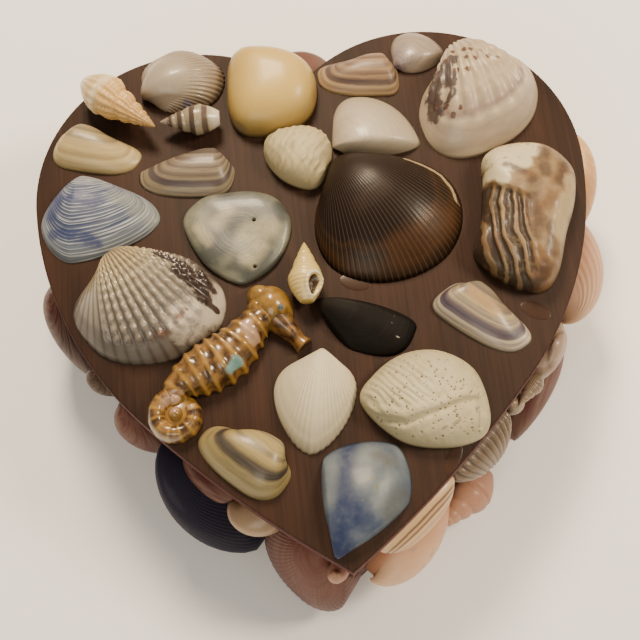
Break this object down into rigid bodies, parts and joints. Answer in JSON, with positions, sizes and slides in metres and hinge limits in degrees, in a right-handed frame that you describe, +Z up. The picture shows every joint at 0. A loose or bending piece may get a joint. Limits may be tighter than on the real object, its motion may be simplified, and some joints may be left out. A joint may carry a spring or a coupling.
{
  "type": "shell box",
  "caption": "Heart-shaped wooden trinket box with a lift-off lid, set with sea shells and a glazed pottery seahorse, with more shells round its wall.",
  "frame": {"origin": "middle of the underside, on the surface that the box stands on", "axes": "+Z up, out of the lid; the tip of the heart points to -Y and its notch to +Y; +X to the right"},
  "size_m": [0.1739, 0.1708, 0.0584],
  "materials": {
    "lid_white_cockle": "polished sea shell",
    "lid_cream_clam": "polished sea shell",
    "lid_brown_wedge": "polished sea shell",
    "lid_violet_clam": "polished sea shell",
    "lid_knobbed_cockle": "polished sea shell",
    "lid_yellow_wedge": "polished sea shell",
    "lid_grey_wedge": "polished sea shell",
    "lid_blue_clam": "polished sea shell",
    "lid_oval_clam": "polished sea shell",
    "lid_brown_clam": "polished sea shell",
    "lid_beaded_cockle": "polished sea shell",
    "lid_mussel": "polished sea shell",
    "lid_violet_wedge": "polished sea shell",
    "lid_chalk_cockle": "worn sea shell",
    "lid_banded_wedge": "polished sea shell",
    "lid_blue_piece": "polished sea shell",
    "lid_rough_shell": "worn sea shell",
    "lid_banded_oyster": "worn sea shell",
    "lid_grey_disc": "worn sea shell",
    "lid_pitted_shell": "worn sea shell",
    "lid_tan_whelk": "polished sea shell",
    "lid_striped_whelk": "polished sea shell",
    "lid_yellow_whelk": "polished sea shell",
    "glazed_pottery": "brown pottery glaze",
    "wood": "stained, satin",
    "wood_inside": "bare",
    "side_back_cockle": "polished sea shell",
    "side_back_clam": "polished sea shell",
    "side_lobe_cockle": "polished sea shell",
    "side_orange_clam": "polished sea shell",
    "side_pink_cockle": "polished sea shell",
    "side_striped_clam": "polished sea shell",
    "side_red_clam": "polished sea shell",
    "side_grey_clam": "polished sea shell",
    "side_fan_cockle": "polished sea shell",
    "side_tan_wedge": "polished sea shell",
    "side_smooth_clam": "polished sea shell",
    "side_tip_cockle": "polished sea shell",
    "side_tip_scallop": "polished sea shell",
    "side_round_shell": "polished sea shell",
    "side_dark_mussel": "polished sea shell",
    "side_red_wedge": "polished sea shell",
    "side_rose_clam": "polished sea shell",
    "side_brown_clam": "polished sea shell",
    "side_dark_red_clam": "polished sea shell",
    "side_flank_cockle": "polished sea shell",
    "side_flank_clam": "polished sea shell",
    "side_rear_cockle": "polished sea shell",
    "side_rear_clam": "polished sea shell",
    "side_notch_clam": "polished sea shell",
    "side_spotted_whelk": "polished sea shell",
    "side_pink_whelk": "polished sea shell"
  },
  "bodies": {
    "root": {"lid_white_cockle": "lid_white_cockle", "lid_cream_clam": "lid_cream_clam", "lid_brown_wedge": "lid_brown_wedge", "lid_violet_clam": "lid_violet_clam", "lid_knobbed_cockle": "lid_knobbed_cockle", "lid_yellow_wedge": "lid_yellow_wedge", "lid_grey_wedge": "lid_grey_wedge", "lid_blue_clam": "lid_blue_clam", "lid_oval_clam": "lid_oval_clam", "lid_brown_clam": "lid_brown_clam", "lid_beaded_cockle": "lid_beaded_cockle", "lid_mussel": "lid_mussel", "lid_violet_wedge": "lid_violet_wedge", "lid_chalk_cockle": "lid_chalk_cockle", "lid_banded_wedge": "lid_banded_wedge", "lid_blue_piece": "lid_blue_piece", "lid_rough_shell": "lid_rough_shell", "lid_banded_oyster": "lid_banded_oyster", "lid_grey_disc": "lid_grey_disc", "lid_pitted_shell": "lid_pitted_shell", "lid_tan_whelk": "lid_tan_whelk", "lid_striped_whelk": "lid_striped_whelk", "lid_yellow_whelk": "lid_yellow_whelk", "lid_seahorse": "glazed_pottery", "base_board": "wood", "wall": "wood", "lid_board": "wood", "lid_frame": "wood_inside", "side_back_cockle": "side_back_cockle", "side_back_clam": "side_back_clam", "side_lobe_cockle": "side_lobe_cockle", "side_orange_clam": "side_orange_clam", "side_pink_cockle": "side_pink_cockle", "side_striped_clam": "side_striped_clam", "side_red_clam": "side_red_clam", "side_grey_clam": "side_grey_clam", "side_fan_cockle": "side_fan_cockle", "side_tan_wedge": "side_tan_wedge", "side_smooth_clam": "side_smooth_clam", "side_tip_cockle": "side_tip_cockle", "side_tip_scallop": "side_tip_scallop", "side_round_shell": "side_round_shell", "side_dark_mussel": "side_dark_mussel", "side_red_wedge": "side_red_wedge", "side_rose_clam": "side_rose_clam", "side_brown_clam": "side_brown_clam", "side_dark_red_clam": "side_dark_red_clam", "side_flank_cockle": "side_flank_cockle", "side_flank_clam": "side_flank_clam", "side_rear_cockle": "side_rear_cockle", "side_rear_clam": "side_rear_clam", "side_notch_clam": "side_notch_clam", "side_spotted_whelk": "side_spotted_whelk", "side_pink_whelk": "side_pink_whelk"}
  },
  "joints": []
}
